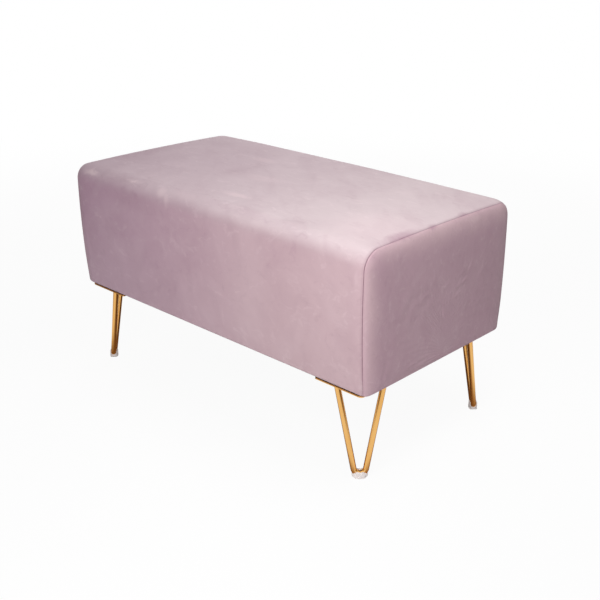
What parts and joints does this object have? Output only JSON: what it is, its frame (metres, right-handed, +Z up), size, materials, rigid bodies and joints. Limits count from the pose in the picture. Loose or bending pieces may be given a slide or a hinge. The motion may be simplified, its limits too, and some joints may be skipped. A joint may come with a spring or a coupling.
{
  "type": "upholstered bench",
  "caption": "Low padded bench: a long box covered in velvet, with sewn end panels, on splayed gold hairpin legs with clear foot caps.",
  "frame": {"origin": "on the floor under the middle of the bench", "axes": "+X along the bench, -Y its front, +Z up"},
  "size_m": [0.8, 0.4204, 0.445],
  "materials": {
    "velvet": "short-pile velvet, dusty mauve pink",
    "dust_cover": "black needle felt, 2.4 mm",
    "foam": "open-cell polyurethane foam",
    "plywood": "unfinished plywood",
    "pine": "unfinished softwood",
    "gold_metal": "satin gold-coloured plating on steel",
    "clear_plastic": "soft clear plastic",
    "zinc_screws": "zinc-plated",
    "staples": "galvanised wire"
  },
  "bodies": {
    "root": {"centre_brace": "plywood", "corner_block_back_left": "pine", "corner_block_back_right": "pine", "corner_block_front_left": "pine", "corner_block_front_right": "pine", "corner_post_back_left": "pine", "corner_post_back_right": "pine", "corner_post_front_left": "pine", "corner_post_front_right": "pine", "cover_end_left": "velvet", "cover_end_right": "velvet", "cover_main": "velvet", "cover_staples": "staples", "dust_cover": "dust_cover", "dust_cover_staples": "staples", "end_board_left": "plywood", "end_board_right": "plywood", "foam_back": "foam", "foam_end_left": "foam", "foam_end_right": "foam", "foam_front": "foam", "foot_cap_back_left": "clear_plastic", "foot_cap_back_right": "clear_plastic", "foot_cap_front_left": "clear_plastic", "foot_cap_front_right": "clear_plastic", "leg_plate_back_left": "gold_metal", "leg_plate_back_right": "gold_metal", "leg_plate_front_left": "gold_metal", "leg_plate_front_right": "gold_metal", "leg_rod_back_left": "gold_metal", "leg_rod_back_right": "gold_metal", "leg_rod_front_left": "gold_metal", "leg_rod_front_right": "gold_metal", "leg_screws": "zinc_screws", "leg_welds": "gold_metal", "post_screws": "zinc_screws", "rail_back": "pine", "rail_centre": "pine", "rail_front": "pine", "rail_left": "pine", "rail_right": "pine", "seat_foam": "foam", "side_board_back": "plywood", "side_board_front": "plywood", "top_board": "plywood", "top_board_screws": "zinc_screws"}
  },
  "joints": []
}
